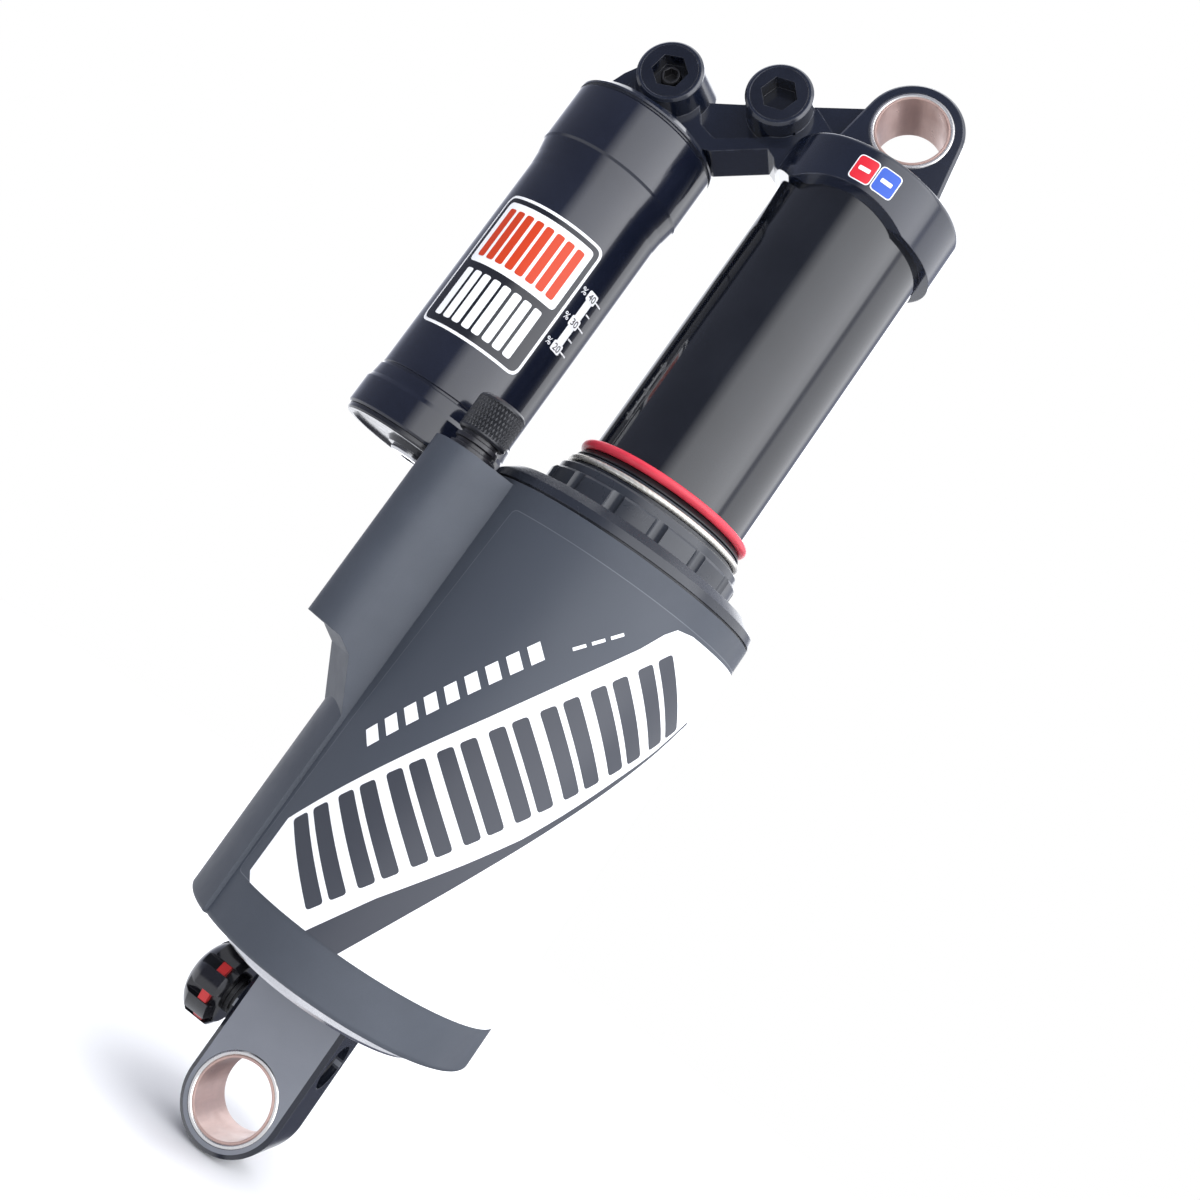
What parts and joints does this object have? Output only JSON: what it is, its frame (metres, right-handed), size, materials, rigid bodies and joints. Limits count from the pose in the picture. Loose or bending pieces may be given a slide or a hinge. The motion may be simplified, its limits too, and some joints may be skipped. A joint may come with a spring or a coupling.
{
  "type": "bicycle rear shock",
  "caption": "Bicycle rear air shock with a sliding damper tube, piggyback reservoir on a forged head, valve lobe on the air can, rebound knob and bushed eyelets.",
  "frame": {"origin": "centre of the lower eyelet's bore", "axes": "+Z along the damper shaft to the upper eyelet, +Y along the eyelet bores away from the air valve, +X away from the reservoir"},
  "size_m": [0.0846, 0.0536, 0.2186],
  "materials": {
    "satin_grey": "satin",
    "bushing_steel": "fine brushed",
    "bronze_lining": "matte",
    "polished_ring": "polished",
    "satin_black": "satin anodised",
    "gloss_black": "gloss",
    "seal_rubber": "matte",
    "bare_alloy": "honed",
    "bumper_rubber": "matte",
    "guide_plastic": "matte",
    "wiper_rubber": "matte",
    "ring_wire": "bright",
    "lock_ring_black": "semi-gloss",
    "polished_steel": "polished",
    "piston_alloy": "machined",
    "spring_steel": "plain",
    "valve_black": "semi-gloss",
    "valve_brass": "plain",
    "knurled_cap": "knurled",
    "tube_black": "gloss",
    "head_black": "gloss",
    "plug_black": "semi-gloss",
    "screw_black": "semi-gloss",
    "reservoir_black": "gloss",
    "end_cap_black": "satin",
    "red_rubber": "smooth",
    "knob_black": "gloss",
    "knob_red": "satin"
  },
  "bodies": {
    "air_can": {"lower_mount": "satin_grey", "lower_bushing": "bushing_steel", "lower_lining": "bronze_lining", "base_ring": "polished_ring", "outer_can": "satin_black", "can_collar": "gloss_black", "collar_seal": "seal_rubber", "air_cylinder": "bare_alloy", "bottom_out_bumper": "bumper_rubber", "seal_head": "gloss_black", "guide_bushing": "guide_plastic", "air_seal_upper": "seal_rubber", "wiper_seal": "wiper_rubber", "retaining_ring": "ring_wire", "lock_ring": "lock_ring_black", "damper_shaft": "polished_steel", "main_piston": "piston_alloy", "piston_band": "guide_plastic", "compression_shims": "spring_steel", "rebound_shims": "spring_steel", "piston_nut": "spring_steel", "valve_body": "valve_black", "valve_core": "valve_brass"},
    "damper": {"damper_tube": "tube_black", "damper_seal_head": "piston_alloy", "shaft_seal": "seal_rubber", "air_piston": "piston_alloy", "air_piston_seal": "seal_rubber", "air_glide_band": "guide_plastic", "top_out_bumper": "bumper_rubber", "head_casting": "head_black", "upper_bushing": "bushing_steel", "upper_lining": "bronze_lining", "check_valve_plug": "plug_black", "compression_housing": "plug_black", "reservoir_body": "reservoir_black", "reservoir_end_cap": "end_cap_black", "end_cap_seal": "seal_rubber", "fill_plug": "polished_steel"},
    "travel_ring": {"travel_ring": "red_rubber"},
    "floating_piston": {"floating_piston": "piston_alloy", "floating_piston_seal": "seal_rubber"},
    "rebound_knob": {"rebound_knob": "knob_black", "knob_detents": "knob_red", "knob_shaft": "screw_black"},
    "rebound_rod": {"rebound_rod": "polished_steel"},
    "ending_adjuster": {"ending_adjuster": "screw_black"},
    "compression_screw": {"compression_screw": "screw_black"},
    "valve_cap": {"valve_cap": "knurled_cap"},
    "valve_pin": {"valve_pin": "valve_brass"}
  },
  "joints": [
    {"name": "stroke", "type": "slide", "parent": "air_can", "child": "damper", "axis": [0, 0, -1], "range_m": [0, 0.057], "stiffness_N_per_m": 45000, "springref_m": -0.004},
    {"name": "travel_ring_slide", "type": "slide", "parent": "damper", "child": "travel_ring", "axis": [0, 0, 1], "range_m": [0, 0.0571]},
    {"name": "floating_piston_slide", "type": "slide", "parent": "damper", "child": "floating_piston", "axis": [0, 0, -1], "range_m": [0, 0.0093]},
    {"name": "rebound_knob_turn", "type": "hinge", "parent": "air_can", "child": "rebound_knob", "pos_m": [-0.0134, 0, 0.0116], "axis": [1, 0, 0], "range_deg": [0, 270]},
    {"name": "rebound_rod_lift", "type": "slide", "parent": "air_can", "child": "rebound_rod", "axis": [0, 0, 1], "range_m": [0, 0.0014]},
    {"name": "ending_adjuster_turn", "type": "hinge", "parent": "air_can", "child": "ending_adjuster", "pos_m": [0.006, 0, 0.0116], "axis": [1, 0, 0], "range_deg": [-300, 0]},
    {"name": "compression_screw_turn", "type": "hinge", "parent": "damper", "child": "compression_screw", "pos_m": [-0.043, -0.004, 0.1863], "axis": [0, 1, 0], "range_deg": [0, 720]},
    {"name": "valve_cap_off", "type": "slide", "parent": "air_can", "child": "valve_cap", "axis": [0, 0, 1], "range_m": [0, 0.012]},
    {"name": "valve_pin_press", "type": "slide", "parent": "air_can", "child": "valve_pin", "axis": [0, 0, -1], "range_m": [0, 0.0012], "stiffness_N_per_m": 1000, "springref_m": -0.001}
  ],
  "couplings": [
    {"joint": "travel_ring_slide", "follows": "stroke", "ratio": 1},
    {"joint": "floating_piston_slide", "follows": "stroke", "ratio": 0.16129},
    {"joint": "rebound_knob_turn", "follows": "rebound_rod_lift", "rad_per_m": 3366}
  ]
}
